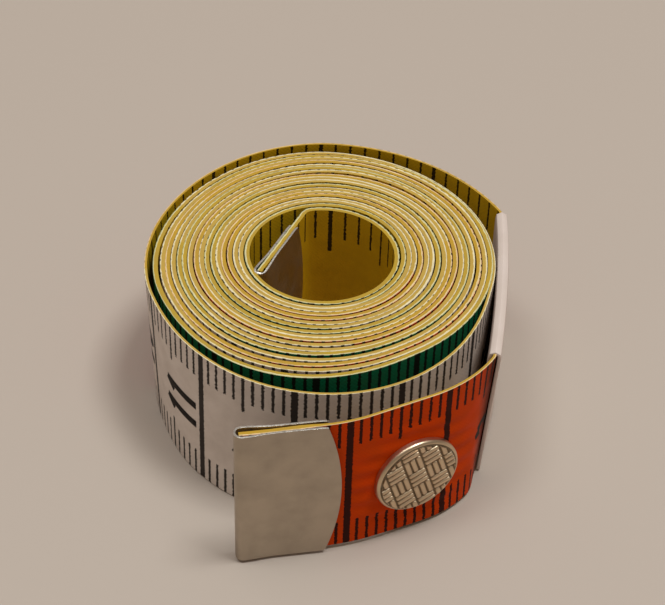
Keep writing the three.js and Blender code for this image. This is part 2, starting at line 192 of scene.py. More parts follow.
class FlapSettings(bpy.types.PropertyGroup):
    crease: angle("Crease", -40, "Angle of the crease round the roll's axis")
    standoff: length("Crease standoff", 4.5, "Distance of the crease from the tight turns")
    crease_lead: length("Crease lead", 0.55, "How far the crease lies in front of its hinge")
    crease_heading: angle("Crease heading", 60, "Direction of the tape as it reaches the crease")
    snap_heading: angle("Snap heading", 26.6, "Direction of the tape under the press stud")
    clip_heading: angle("Clip heading", 10, "Direction of the tape in the outer clip")
    clip_straight: length("Clip straight", 7.73, "Straight length at the outer end")
    front_bend: length("Front bend", 4.5, "Length of the bend between clip and press stud")
    snap_flat: length("Snap flat", 5.8, "Flat length under the press stud")
    crease_bend: length("Crease bend", 8.5, "Length of the bend between press stud and crease")
    snap_back: length("Snap back", 9.7, "Distance of the press stud from the crease")
    lift: length("Lift", 0.5, "Height of the flap's tape above the floor")
    sunk: length("Sunk", 0.12, "How much lower the tape sits in the outer clip")
    swell: length("Swell", 0.4, "How far the flap's foot stands out")
    swell_along: stretch("Swell along", 9, 18, 26, "Where along the tape the flap's foot stands out")
    wrinkle: length("Wrinkle", 0.09, "Height of the wrinkles round the press stud")
    wrinkle_ring: number("Wrinkle ring", 1.25, "Where the wrinkles are highest, in radii of the cap")
    wrinkle_spread: number("Wrinkle spread", 0.35, "Width of the wrinkled ring, in radii of the cap")
    wrinkle_rate: number("Wrinkle rate", 3.25, "Closeness of the wrinkles, in radians per millimetre")
    wrinkle_slant: number("Wrinkle slant", 0.3, "Slant of the wrinkles, in radians per millimetre")


class ClipSettings(bpy.types.PropertyGroup):
    length: length("Clip length", 9.03, "Length of a clip along the middle of its arched edge")
    arch: length("Clip arch", 1.4, "Rise of the arched edge")
    sheet: length("Clip sheet", 0.2, "Thickness of the clip's sheet metal")
    air: length("Outer clip air", 0.1, "Air between the outer clip and the tape")
    inner_air: length("Inner clip air", 0.03, "Air between the inner clip and the tape")
    tuck: length("Clip tuck", 0.27, "How far the tape's end reaches past the axis of the fold")
    bead: number("Clip bead", 1.45, "Swelling of the fold")
    bead_reach: length("Clip bead reach", 3, "Length over which the swelling runs out")
    fold_corner: length("Fold corner", 0.3, "Radius of the clip's corners at the fold")
    arch_corner: length("Arch corner", 2.0, "Radius of the clip's corners at the arched edge")
    overhang: length("Clip overhang", 0.15, "How far the outer clip reaches below the tape")
    lip: length("Clip lip", 0.1, "How far the outer clip reaches above the flap's tape")
    inner_lip: length("Inner clip lip", 0.15, "How far the inner clip reaches above the tape")


class SnapSettings(bpy.types.PropertyGroup):
    drop: length("Drop", 1.17, "How far the press stud sits below the middle of the tape")
    cap_radius: length("Cap radius", 4.27, "Radius of the cap")
    cap_height: length("Cap height", 0.95, "Height of the cap above the tape")
    cap_round: length("Cap round", 0.35, "Radius of the cap's rounded rim")
    strand: length("Strand", 1.9, "Length of one strand of the cap's basket weave")
    strand_gap: length("Strand gap", 0.15, "Groove between two strands")
    strand_relief: length("Strand relief", 0.17, "Height of the strands above the grooves")
    strands: IntProperty(name="Strands", description="Strands in one block of the basket weave", default=3)
    weave_turn: angle("Weave turn", 18, "Direction of the weave on the cap")
    socket_radius: length("Socket radius", 4.3, "Radius of the socket")
    socket_height: length("Socket height", 1.25, "Height of the socket")
    mouth_radius: length("Mouth radius", 2.3, "Radius of the socket's mouth")
    head_radius: length("Head radius", 1.8, "Radius of the stud's head")
    flange_radius: length("Flange radius", 3.2, "Radius of the stud's flange")
    head_air: length("Head air", 0.4, "Air between the stud's crown and the flap")
    eyelet_height: length("Eyelet height", 0.4, "Height of the eyelet behind the second turn")
    sheet: length("Snap sheet", 0.25, "Thickness of the press stud's sheet metal")


class SleeveSettings(bpy.types.PropertyGroup):
    wall: length("Sleeve wall", 0.34, "Thickness of the sleeve's wall")
    half: length("Sleeve half", 0.6, "Half the sleeve's outer thickness at its fold")
    foot_half: length("Sleeve foot half", 0.58, "Half the sleeve's outer thickness at its foot")
    margin: length("Sleeve margin", 0.3, "Bare tape at each end of the sleeve")
    foot: length("Sleeve foot", 0.2, "Height of the sleeve's lower edges")
    rise: length("Sleeve rise", 0.45, "How far the sleeve's fold stands above the tape")


class ColourSettings(bpy.types.PropertyGroup):
    orange: colour("Orange", 206, 62, 2, "First band of the centimetre side")
    white: colour("White", 224, 210, 198, "Second and fourth band of the centimetre side")
    green: colour("Green", 8, 112, 76, "Third band of the centimetre side")
    yellow: colour("Yellow", 212, 166, 24, "Inch side")
    cream: colour("Cream", 240, 222, 166, "Cut edge of the coating")
    core: colour("Core", 192, 152, 28, "Cut edge of the cloth")
    ink: colour("Ink", 26, 20, 18, "Printed scale")
    steel: colour("Steel", 182, 168, 150, "Clips")
    cap: colour("Cap", 214, 190, 158, "Cap")
    bright: colour("Bright steel", 232, 224, 212, "Inner pieces of the press stud")
    sleeve: colour("Sleeve", 220, 201, 188, "Sleeve")
    floor: colour("Floor", 188, 172, 157, "Surface that the part stands on")


class StageSettings(bpy.types.PropertyGroup):
    eye_back: length("Eye back", 132.58, "Distance of the camera in front of the roll's axis")
    eye_height: length("Eye height", 125.29, "Height of the camera above the floor")
    pan: angle("Pan", 0.56, "Turn of the camera to the right of straight back")
    tilt: angle("Tilt", 41.04, "Turn of the camera below the horizon")
    roll: angle("Roll", 1.88, "Turn of the camera about its own axis")
    lens: number("Lens", 50, "Focal length in millimetres")
    sensor: number("Sensor", 19.113, "Sensor width in millimetres")
    floor: length("Floor", 3000, "Side of the floor")
    lamp: length("Lamp", 260, "Side of each side lamp")
    ceiling: length("Ceiling lamp", 900, "Side of the lamp straight above")
    lamp_height: length("Lamp height", 1000, "Height of the lamps")
    lamp_aside: length("Lamp aside", 290, "Distance of a side lamp from the middle")
    lamp_front: length("Lamp front", 60, "Distance of the side lamps in front of the roll's axis")
    left_power: number("Left power", 2.0, "Power of the left lamp in watts", "POWER")
    right_power: number("Right power", 5.4, "Power of the right lamp in watts", "POWER")
    ceiling_power: number("Ceiling power", 2.4, "Power of the lamp straight above in watts", "POWER")
    world: number("World", 0.24, "Strength of the light from all round")


class TapeMeasureSettings(bpy.types.PropertyGroup):
    tape: PointerProperty(type=TapeSettings)
    roll: PointerProperty(type=RollSettings)
    flap: PointerProperty(type=FlapSettings)
    clip: PointerProperty(type=ClipSettings)
    snap: PointerProperty(type=SnapSettings)
    sleeve: PointerProperty(type=SleeveSettings)
    colours: PointerProperty(type=ColourSettings)
    stage: PointerProperty(type=StageSettings)


def settings():
    return bpy.context.scene.tape_measure


# Routes, in plan: a point is a complex number, with X as its real part and Y as its imaginary part
def unit(direction):
    return np.exp(1j * np.asarray(direction))


def joint_place(name):
    joint = next(joint for joint in frame["joints"] if joint["name"] == name)
    return complex(*joint["pos_m"][:2])


def crease_point():
    return joint_place("flap_swing") - 1j * settings().flap.crease_lead


def roll_axis():
    flap, roll = settings().flap, settings().roll
    return joint_place("flap_swing") - unit(flap.crease) * (roll.rim + flap.standoff)


class Route:
    """A plan line with its lengths, on which sheets are laid."""

    def __init__(self, points):
        self.points = points
        self.lengths = np.concatenate([[0], np.cumsum(np.abs(np.diff(points)))])

    def at(self, along):
        x, y = (np.interp(along, self.lengths, part) for part in (self.points.real, self.points.imag))
        return x + 1j * y

    def even(self, step):
        return Route(self.at(np.linspace(0, self.lengths[-1], round(self.lengths[-1] / step) + 1)))

    def rounded(self, reach):
        """The same line with its sharp bends spread over a reach."""
        fine = self.even(ROUTE_STEP)
        half = round(reach / (2 * ROUTE_STEP))
        window = np.hanning(2 * half + 3)[1:-1]
        first, last = fine.points[0], fine.points[-1]
        before = 2 * first - fine.points[half:0:-1]
        after = 2 * last - fine.points[-2:-half - 2:-1]
        long = np.concatenate([before, fine.points, after])
        return Route(np.convolve(long, window / window.sum(), mode="valid"))

    def place(self, along, across, up):
        """Points beside the line: across is to its left, which is the roll's inside."""
        ahead = self.at(along + ROUTE_STEP) - self.at(along - ROUTE_STEP)
        plan = self.at(along) + 1j * ahead / np.abs(ahead) * across
        return np.column_stack([plan.real, plan.imag, np.broadcast_to(up, plan.shape)])

    def nearest(self, point):
        return self.lengths[np.argmin(np.abs(self.points - point))]


def flap_line():
    """From the outer end to the crease."""
    flap = settings().flap
    stretches = [
        (flap.clip_straight, flap.clip_heading, flap.clip_heading),
        (flap.front_bend, flap.clip_heading, flap.snap_heading),
        (flap.snap_flat, flap.snap_heading, flap.snap_heading),
        (flap.crease_bend, flap.snap_heading, flap.crease_heading),
    ]
    steps = []
    for reach, start, end in stretches:
        count = round(reach / ROUTE_STEP)
        share = (np.arange(count) + 0.5) / count
        steps.append(unit(start + (end - start) * share) * reach / count)
    line = np.concatenate([[0], np.cumsum(np.concatenate(steps))])
    return line - line[-1] + crease_point()


def snap_point():
    """Middle of the press stud, on the flap's flat stretch."""
    route = Route(flap_line())
    return route.at(route.lengths[-1] - settings().flap.snap_back)


def snap_outward():
    return -1j * unit(settings().flap.snap_heading)


def hump(turned, start, peak, end):
    """Height of a lopsided hump, 0 at its two ends and 1 at its peak."""
    share = np.where(turned < peak, (peak - turned) / (peak - start), (turned - peak) / (end - peak))
    return np.cos(np.clip(share, 0, 1) * math.pi / 2).clip(0) ** 1.5


def smooth_step(low, high, value):
    share = np.clip((value - low) / (high - low), 0, 1)
    return share * share * (3 - 2 * share)


def waves(along, parts):
    return sum(high * np.sin(rate * along + phase) for high, rate, phase in parts)


def ridge(turned, peak, half):
    """A hump that comes again at every turn."""
    return hump(turned % TURN, peak - half, peak, peak + half)


def spiral(turned):
    """Radius of the plain winding at an angle along it."""
    roll = settings().roll
    pitch = (roll.first_turn - roll.last_turn) / roll.tight_turns
    return roll.first_turn - pitch * (turned - roll.tight_from) / TURN


def dent(turned):
    """How far the turns are pressed in at the back left, fading towards the hole."""
    roll = settings().roll
    deep = (turned - roll.tight_from) / (roll.tight_turns * TURN)
    return roll.dent * ridge(turned, roll.dent_peak, roll.dent_half) * (1 - deep).clip(0, 1) ** 1.5


def slack(turned):
    """How far the outer turn stands off at the back."""
    roll = settings().roll
    return roll.back_slack * hump(turned, *roll.back_round)


def loose_radius(turned):
    """Radius of the two loose outer turns at an angle along the winding."""
    roll = settings().roll
    bend_slack = roll.rim + roll.far_standoff - spiral(roll.far_bend) - slack(roll.far_bend)
    bend = bend_slack * ((roll.bend_to - turned) / (roll.bend_to - roll.far_bend)).clip(0) ** 2
    bulge = roll.bulge * hump(turned, *roll.bulge_round)
    return spiral(turned) + slack(turned) + bend + bulge - dent(turned)


def stud_seat():
    """Place and outward direction of the second turn behind the press stud."""
    _, peak, end = settings().roll.bulge_round
    turned = np.linspace(peak, end, 600)
    line = roll_axis() + unit(turned) * loose_radius(turned)
    aside = ((line - snap_point()) * np.conj(unit(settings().flap.snap_heading))).real
    at = np.argmin(np.abs(aside))
    ahead = line[at + 1] - line[at - 1]
    return line[at], -1j * ahead / abs(ahead)


def winding_line():
    """From the far bend to the end of the innermost turn."""
    roll = settings().roll
    end = roll.tight_from + TURN * roll.tight_turns
    turned = np.arange(roll.far_bend, end, math.radians(0.5))
    radius = np.where(turned < roll.tight_from, loose_radius(turned), spiral(turned) - dent(turned))
    deep = smooth_step(roll.tight_from - math.pi / 2, roll.tight_from + math.pi / 2, turned)
    drawn = ridge(turned, roll.core_peak, roll.core_half)
    fading = np.exp(-(turned - roll.tight_from).clip(0) / (roll.core_spread * TURN))
    shifted = roll.core_shift * np.cos(turned - roll.core_heading)
    uneven = roll.waviness * waves(turned, TURN_WAVES)
    radius = radius + deep * (uneven + roll.core_bulge * drawn * fading + shifted)
    return roll_axis() + unit(turned) * radius


def side_line():
    """The stretch in the sleeve, from the crease past the second turn to the far bend."""
    roll, flap = settings().roll, settings().flap
    crease = crease_point()
    far = roll_axis() + unit(roll.far_bend) * (roll.rim + roll.far_standoff)
    middle_angle = (flap.crease + roll.far_bend) / 2
    second = loose_radius(np.asarray([middle_angle + TURN]))[0]
    middle = roll_axis() + unit(middle_angle) * (second + roll.side_gap)
    control = 2 * middle - (crease + far) / 2
    share = np.linspace(0, 1, 60)
    return (1 - share) ** 2 * crease + 2 * share * (1 - share) * control + share ** 2 * far


def tab_line():
    """The inner end, from its hinge to the tip of the CAD stretch."""
    low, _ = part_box("tape_inner_end")
    return np.linspace(joint_place("inner_end_swing"), complex(low.x, low.y), 40)


def tape_route():
    """The whole tape, from its outer end to its inner end."""
    line = np.concatenate([flap_line(), side_line()[1:], winding_line()[1:], tab_line()])
    return Route(line).rounded(settings().tape.smoothing).even(ROUTE_STEP)


def tape_bottom(along, crease):
    """Height of the tape's lower edge: lifted on the flap, sunk in the outer clip and uneven in the roll."""
    clip, flap, roll = settings().clip, settings().flap, settings().roll
    lifted = flap.lift * (1 - smooth_step(0.6 * crease, 1.4 * crease, along))
    sunk = flap.sunk * (1 - smooth_step(0.2 * clip.length, 0.7 * clip.length, along))
    uneven = EDGE_LEVEL + waves(along, EDGE_WAVES)
    raised = roll.back_rise * hump(along, *roll.rise_along)
    return lifted - sunk + raised + roll.edge_waviness * uneven * smooth_step(crease, 4 * crease, along)


def tape_thickness(along):
    """Thin on the flap and the loose turns, thick in the clips and the tight turns."""
    tape, clip = settings().tape, settings().clip
    clipped = 1 - smooth_step(0.6 * clip.length, 0.9 * clip.length, along)
    wound = smooth_step(tape.thick_from, tape.thick_to, along)
    return tape.loose_thickness + (tape.thickness - tape.loose_thickness) * np.maximum(clipped, wound)


def foot_flare(along, up):
    """How far the second turn's foot stands out, as a shift across the tape."""
    roll = settings().roll
    outward = roll.flare * hump(along, *roll.flare_along)
    inward = roll.undercut * hump(along, *roll.undercut_along)
    return (inward - outward) * (1 - up / settings().tape.width)


def side_lean(along, up, crease, side):
    """Shift in X and Y of the tape's drawn-in foot, from before the crease to half way along the side."""
    roll = settings().roll
    begun = smooth_step(crease - roll.lean_before, crease + roll.lean_past, along)
    left = 1 - smooth_step(0, roll.lean_share * side, along - crease)
    shift = roll.lean * begun * left * (1 - up / settings().tape.width)
    return np.outer(shift, (math.cos(roll.lean_heading), math.sin(roll.lean_heading)))


def on_tape(route, along, up, across):
    """Places on the tape at some lengths along it, heights on it and distances from its middle."""
    crease = route.nearest(crease_point())
    places = route.place(along, across + foot_flare(along, up), tape_bottom(along, crease) + up)
    places[:, :2] += side_lean(along, up, crease, Route(side_line()).lengths[-1])
    return places


# Modelling helpers
def begin():
    if bpy.context.mode != "OBJECT":
        set_mode("OBJECT")
    bpy.ops.object.select_all(action="DESELECT")


def set_mode(mode):
    bpy.ops.object.mode_set(mode=mode)


def finish_piece(obj, name, material, smooth=35):
    begin()
    obj.name = obj.data.name = name
    obj.select_set(True)
    bpy.context.view_layer.objects.active = obj
    bpy.ops.object.shade_smooth_by_angle(angle=math.radians(smooth))
    if material:
        obj.data.materials.clear()
        obj.data.materials.append(material)
    return obj


def apply_modifier(obj, kind, **values):
    begin()
    bpy.context.view_layer.objects.active = obj
    obj.select_set(True)
    modifier = obj.modifiers.new(kind.title(), kind)
    for name, value in values.items():
        setattr(modifier, name, value)
    bpy.ops.object.modifier_apply(modifier=modifier.name)


def keep_inside(obj, cutter):
    """Cuts away what lies outside a closed piece, which is then removed."""
    apply_modifier(obj, "BOOLEAN", object=cutter, operation="INTERSECT", solver="EXACT")
    bpy.data.objects.remove(cutter)


def vertex_array(mesh):
    flat = np.empty(len(mesh.vertices) * 3)
    mesh.vertices.foreach_get("co", flat)
    return flat.reshape(-1, 3)


def move_vertices(mesh, places):
    mesh.vertices.foreach_set("co", np.ascontiguousarray(places, dtype=np.float32).ravel())
    mesh.update()


def select_vertices(obj, test):
    """In edit mode, selects the vertices whose place passes a test."""
    set_mode("OBJECT")
    mesh = obj.data
    chosen = np.array([test(vertex.co) for vertex in mesh.vertices])
    mesh.polygons.foreach_set("select", np.zeros(len(mesh.polygons), bool))
    mesh.edges.foreach_set("select", [bool(chosen[list(edge.vertices)].all()) for edge in mesh.edges])
    mesh.vertices.foreach_set("select", chosen)
    set_mode("EDIT")
    bpy.ops.mesh.select_mode(type="VERT")


def join_pieces(pieces):
    begin()
    for piece in pieces:
        piece.select_set(True)
    bpy.context.view_layer.objects.active = pieces[0]
    bpy.ops.object.join()
    return pieces[0]


def flat_grid(columns, rows):
    """A unit grid, whose vertex places are returned as shares along and across it."""
    begin()
    bpy.ops.mesh.primitive_grid_add(x_subdivisions=columns, y_subdivisions=rows, size=1)
    obj = bpy.context.object
    return obj, vertex_array(obj.data)[:, :2] + 0.5


def turned_piece(profile, steps=64):
    """A profile of (radius, height) points, extruded from one point and spun round Z."""
    begin()
    bpy.ops.mesh.primitive_plane_add(size=profile[0][0] + 1 * MM)
    obj = bpy.context.object
    set_mode("EDIT")
    bpy.ops.mesh.select_mode(type="VERT")
    bpy.ops.mesh.select_all(action="SELECT")
    bpy.ops.mesh.merge(type="CENTER")
    bpy.ops.transform.translate(value=(profile[0][0], 0, profile[0][1]))
    for (radius, height), (last_radius, last_height) in zip(profile[1:], profile):
        step = (radius - last_radius, 0, height - last_height)
        bpy.ops.mesh.extrude_region_move(TRANSFORM_OT_translate={"value": step})
    bpy.ops.mesh.select_all(action="SELECT")
    bpy.ops.mesh.spin(steps=steps, angle=TURN, center=(0, 0, 0), axis=(0, 0, 1))
    bpy.ops.mesh.select_all(action="SELECT")
    bpy.ops.mesh.remove_doubles(threshold=0.004 * MM)
    bpy.ops.mesh.normals_make_consistent(inside=False)
    set_mode("OBJECT")
    return obj


def rounded_corners(outline, radius, segments=4):
    """The same outline with its corners rounded, apart from its two ends."""
    points = [outline[0]]
    for before, corner, after in zip(outline, outline[1:], outline[2:]):
        corner = Vector(corner)
        arms = [Vector(other) - corner for other in (before, after)]
        reach = min(radius, *(arm.length * 0.45 for arm in arms))
        first, last = (corner + arm.normalized() * reach for arm in arms)
        for i in range(segments + 1):
            share = i / segments
            points.append(tuple(first.lerp(corner, share).lerp(corner.lerp(last, share), share)))
    points.append(outline[-1])
    return points


def put(obj, matrix):
    """Moves a piece's mesh, so that the object stays at the origin."""
    obj.data.transform(matrix)
    obj.data.update()


# Materials
class Nodes:
    """Adds nodes to one shader tree. A value is a socket to link, or a number or colour to set."""

    def __init__(self, tree):
        self.tree = tree

    def feed(self, socket, value):
        if isinstance(value, bpy.types.NodeSocket):
            self.tree.links.new(value, socket)
        else:
            socket.default_value = value

    def fill(self, node, values):
        for name, value in values.items():
            self.feed(node.inputs[name], value)

    def place(self):
        """The piece's Object coordinates."""
        return self.add("ShaderNodeTexCoord", output="Object")

    def add(self, kind, inputs=None, output=0, **values):
        node = self.tree.nodes.new(kind)
        for name, value in values.items():
            setattr(node, name, value)
        self.fill(node, inputs or {})
        return node.outputs[output]

    def math(self, operation, *values):
        return self.add("ShaderNodeMath", dict(enumerate(values)), operation=operation)

    def mix(self, factor, first, second):
        inputs = {0: factor, 6: first, 7: second}
        return self.add("ShaderNodeMix", inputs, output=2, data_type="RGBA")

    def noise(self, vector, scale, detail=2.0):
        inputs = {"Vector": vector, "Scale": scale, "Detail": detail}
        return self.add("ShaderNodeTexNoise", inputs)

    def spread(self, value, low, high, to_low, to_high):
        inputs = {0: value, 1: low, 2: high, 3: to_low, 4: to_high}
        return self.add("ShaderNodeMapRange", inputs)

    def bump(self, shader, height, strength, distance):
        inputs = {"Height": height, "Strength": strength, "Distance": distance}
        self.feed(shader.inputs["Normal"], self.add("ShaderNodeBump", inputs))

    def group(self, tree, output=0, **inputs):
        node = self.tree.nodes.new("ShaderNodeGroup")
        node.node_tree = tree
        self.fill(node, inputs)
        return node.outputs[output]


def opaque(rgb):
    return (*rgb, 1.0)


def new_group(name, inputs, outputs):
    """A node group, with its inner nodes, its input sockets and its output node."""
    tree = bpy.data.node_groups.new(name, "ShaderNodeTree")
    for label, kind in inputs.items():
        tree.interface.new_socket(label, in_out="INPUT", socket_type="NodeSocket" + kind)
    for label, kind in outputs.items():
        tree.interface.new_socket(label, in_out="OUTPUT", socket_type="NodeSocket" + kind)
    sockets = tree.nodes.new("NodeGroupInput").outputs
    return tree, Nodes(tree), sockets, tree.nodes.new("NodeGroupOutput")


def group_named(name, make):
    return bpy.data.node_groups.get(name) or make(name)


def material_named(name, make):
    """The material of that name, made on first use by a function of its nodes and its shader."""
    found = bpy.data.materials.get(name)
    if found:
        return found
    material = bpy.data.materials.new(name)
    material.use_nodes = True
    make(Nodes(material.node_tree), material.node_tree.nodes["Principled BSDF"])
    return material


def scale_ink(name, start, ragged, lines):
    """Ink of a printed scale, from millimetres along the tape and up it.

    A line has a spacing, half a width, a length, and whether it stands on both of the tape's edges.
    """
    tree, nodes, given, result = new_group(name, {"Along": "Float", "Up": "Float"}, {"Ink": "Float"})
    width = settings().tape.width / MM
    stretched = nodes.math("MULTIPLY", given["Along"], 0.7)
    thread = nodes.add("ShaderNodeCombineXYZ", {0: stretched, 1: given["Up"]})
    wobble = nodes.math("MULTIPLY", nodes.math("SUBTRACT", nodes.noise(thread, 5.0, 1.0), 0.5), 0.3)
    along = nodes.math("SUBTRACT", nodes.math("ADD", given["Along"], wobble), start)
    below_top = nodes.math("SUBTRACT", width, given["Up"])
    edge = nodes.math("MINIMUM", given["Up"], below_top)
    frayed = nodes.math("ADD", edge, nodes.math("MULTIPLY", wobble, ragged))
    ink = 0.0
    for spacing, half_width, tall, both in lines:
        line = nodes.math("LESS_THAN", nodes.math("PINGPONG", along, spacing / 2), half_width)
        short = nodes.math("LESS_THAN", frayed if both else below_top, tall)
        ink = nodes.math("MAXIMUM", ink, nodes.math("MULTIPLY", line, short))
    nodes.feed(result.inputs["Ink"], ink)
    return tree


def centimetre_ink(name):
    """Ink of the millimetre, half-centimetre and centimetre lines."""
    across = 2 * settings().tape.width / MM
    lines = ((1.0, 0.15, 3.05, True), (5.0, 0.165, 4.15, True), (10.0, 0.33, across, True))
    return scale_ink(name, 0.0, 2.0, lines)


def inch_ink(name):
    """Ink of the sixteenth, quarter-inch, half-inch and inch lines."""
    tape = settings().tape
    lines = (
        (INCH / 16, 0.13, 3.6, True),
        (INCH / 4, 0.13, 4.6, False),
        (INCH / 2, 0.22, 5.3, False),
        (INCH, 0.22, tape.width / MM, False),
    )
    return scale_ink(name, tape.inch_start / MM, 0.0, lines)


def band_colour(name):
    """Colour of the centimetre side, which changes every 10 cm: orange, white, green, white."""
    tree, nodes, given, result = new_group(name, {"Along": "Float"}, {"Colour": "Color"})
    colours = settings().colours
    along = nodes.math("ADD", given["Along"], settings().tape.band_lead / MM)
    band = nodes.math("MODULO", nodes.math("FLOOR", nodes.math("DIVIDE", along, 100.0)), 4.0)
    first = nodes.math("LESS_THAN", band, 0.5)
    third = nodes.math("COMPARE", band, 2.0, 0.5)
    shade = nodes.mix(third, opaque(colours.white), opaque(colours.green))
    nodes.feed(result.inputs["Colour"], nodes.mix(first, shade, opaque(colours.orange)))
    return tree


def cloth_relief(name):
    """Height of a fine plain weave under its coating, and a slow mottling."""
    outputs = {"Height": "Float", "Mottle": "Float"}
    tree, nodes, given, result = new_group(name, {"Along": "Float", "Up": "Float"}, outputs)
    threads_per_mm = 4.4
    waves = []
    for socket in ("Along", "Up"):
        waves.append(nodes.math("SINE", nodes.math("MULTIPLY", given[socket], threads_per_mm * TURN / 2)))
    place = nodes.add("ShaderNodeCombineXYZ", {0: given["Along"], 1: given["Up"]})
    weave = nodes.math("MULTIPLY", waves[0], waves[1])
    grain = nodes.noise(place, 2.5, 4.0)
    nodes.feed(result.inputs["Height"], nodes.math("ADD", nodes.math("MULTIPLY", weave, 0.4), grain))
    nodes.feed(result.inputs["Mottle"], nodes.noise(place, 0.45, 5.0))
    return tree


def tape_place(nodes):
    """Millimetres along the tape and up from its lower edge, from the piece's own UV map in centimetres."""
    uv = nodes.add("ShaderNodeUVMap", uv_map="tape")
    split = nodes.tree.nodes.new("ShaderNodeSeparateXYZ")
    nodes.feed(split.inputs[0], uv)
    return [nodes.math("MULTIPLY", split.outputs[axis], 10.0) for axis in ("X", "Y")]


def coated_cloth(nodes, shader, base, ink, along, up):
    """Print on a satin coating over a weave."""
    colours = settings().colours
    relief = group_named("cloth_relief", cloth_relief)
    mottle = nodes.group(relief, "Mottle", Along=along, Up=up)
    height = nodes.group(relief, "Height", Along=along, Up=up)
    dirty = nodes.mix(nodes.spread(mottle, 0.35, 0.75, 0.0, 0.18), base, CLOTH_DIRT)
    printed = nodes.mix(nodes.math("MULTIPLY", ink, 0.95), dirty, opaque(colours.ink))
    rough = nodes.spread(mottle, 0.3, 0.7, 0.38, 0.55)
    nodes.fill(shader, {"Base Color": printed, "Roughness": rough, "Specular IOR Level": 0.03})
    nodes.bump(shader, height, 0.35, 0.03 * MM)


def centimetre_face(nodes, shader):
    """Bands of colour with the lines on them, with painted shade where the tape is creased."""
    along, up = tape_place(nodes)
    base = nodes.group(group_named("band_colour", band_colour), "Colour", Along=along)
    crease = Route(flap_line()).lengths[-1] / MM
    aside = nodes.math("ABSOLUTE", nodes.math("SUBTRACT", along, crease))
    # Painted shade: the colour darkens towards the crease, where the fold turns away from the light.
    base = nodes.mix(nodes.spread(aside, 0.4, 2.4, 0.9, 0.0), base, CREASE_PAINTED_SHADE)
    ink = nodes.group(group_named("centimetre_ink", centimetre_ink), "Ink", Along=along, Up=up)
    coated_cloth(nodes, shader, base, ink, along, up)


def inch_face(nodes, shader):
    along, up = tape_place(nodes)
    ink = nodes.group(group_named("inch_ink", inch_ink), "Ink", Along=along, Up=up)
    coated_cloth(nodes, shader, opaque(settings().colours.yellow), ink, along, up)


def cut_edge(nodes, shader):
    """The tape's cut edge: a tinted skin with the ends of the lines, a cream coating and yellow cloth."""
    colours = settings().colours
    along, up = tape_place(nodes)
    inward = nodes.add("ShaderNodeAttribute", output="Fac", attribute_name="inward")
    band = nodes.group(group_named("band_colour", band_colour), "Colour", Along=along)
    ink = nodes.group(group_named("centimetre_ink", centimetre_ink), "Ink", Along=along, Up=0.0)
    place = nodes.add("ShaderNodeCombineXYZ", {0: along, 1: nodes.math("MULTIPLY", inward, 0.6)})
    frayed = nodes.math("ADD", inward, nodes.spread(nodes.noise(place, 1.6, 3.0), 0.3, 0.7, -0.07, 0.07))
    skin = nodes.math("LESS_THAN", frayed, 0.14)
    coating = nodes.spread(nodes.noise(place, 0.05, 2.0), 0.35, 0.65, 0.16, 0.42)
    coat = nodes.math("LESS_THAN", frayed, coating)
    cream = nodes.mix(0.12, opaque(colours.cream), band)
    edge = nodes.mix(coat, nodes.mix(0.06, opaque(colours.core), band), cream)
    shown = nodes.spread(nodes.noise(place, 0.03, 1.0), 0.42, 0.58, 0.1, 0.95)
    lines = nodes.math("MULTIPLY", ink, shown)
    edge = nodes.mix(skin, edge, nodes.mix(lines, nodes.mix(0.35, cream, band), opaque(colours.ink)))
    shade = nodes.spread(nodes.noise(place, 0.35, 4.0), 0.35, 0.7, 0.0, 0.25)
    edge = nodes.mix(shade, edge, EDGE_DIRT)
    nodes.fill(shader, {"Base Color": edge, "Roughness": 0.7})
    nodes.bump(shader, nodes.noise(place, 6.0, 3.0), 0.5, 0.05 * MM)


def printed_number(nodes, shader):
    place = nodes.place()
    worn = nodes.spread(nodes.noise(place, 900.0, 3.0), 0.3, 0.8, 0.0, 0.25)
    base = nodes.mix(worn, opaque(settings().colours.ink), WORN_INK)
    nodes.fill(shader, {"Base Color": base, "Roughness": 0.5, "Specular IOR Level": 0.03})


def brushed_metal(tint, grain, roughness):
    """A function that makes brushed sheet metal, with its grain along the tape."""
    def make(nodes, shader):
        place = nodes.place()
        stretched = nodes.add("ShaderNodeMapping", {"Vector": place, "Scale": (400.0, 400.0, 9000.0)})
        lines = nodes.noise(stretched, 1.0, 3.0)
        stains = nodes.noise(place, 420.0, 5.0)
        bright, dark = opaque(tint), opaque([0.5 * c for c in tint])
        dull = nodes.mix(nodes.spread(stains, 0.35, 0.7, 0.0, 0.25), bright, dark)
        base = nodes.mix(nodes.math("MULTIPLY", lines, 0.3), dull, bright)
        rough = nodes.spread(stains, 0.3, 0.75, roughness - 0.08, roughness + 0.12)
        nodes.fill(shader, {"Base Color": base, "Roughness": rough, "Metallic": 1.0})
        nodes.bump(shader, lines, grain, 0.02 * MM)
    return make


def sheared_metal(nodes, shader):
    """The clips' cut edges, torn by the shears, in a bright tint that is in part a painted glint."""
    place = nodes.place()
    torn = nodes.noise(place, 2600.0, 2.0)
    bright = opaque(settings().colours.bright)
    base = nodes.mix(nodes.spread(torn, 0.5, 0.7, 0.0, 0.6), bright, TORN_METAL)
    rough = nodes.spread(torn, 0.3, 0.7, 0.2, 0.45)
    nodes.fill(shader, {"Base Color": base, "Roughness": rough, "Metallic": 0.8})
    nodes.bump(shader, torn, 0.8, 0.06 * MM)


def sleeve_vinyl(nodes, shader):
    place = nodes.place()
    mottle = nodes.noise(place, 240.0, 4.0)
    grain = nodes.noise(place, 2600.0, 3.0)
    base = opaque(settings().colours.sleeve)
    soiled = nodes.mix(nodes.spread(mottle, 0.4, 0.75, 0.0, 0.25), base, SLEEVE_DIRT)
    nodes.fill(shader, {"Base Color": soiled, "Roughness": 0.48})
    nodes.bump(shader, grain, 0.25, 0.03 * MM)


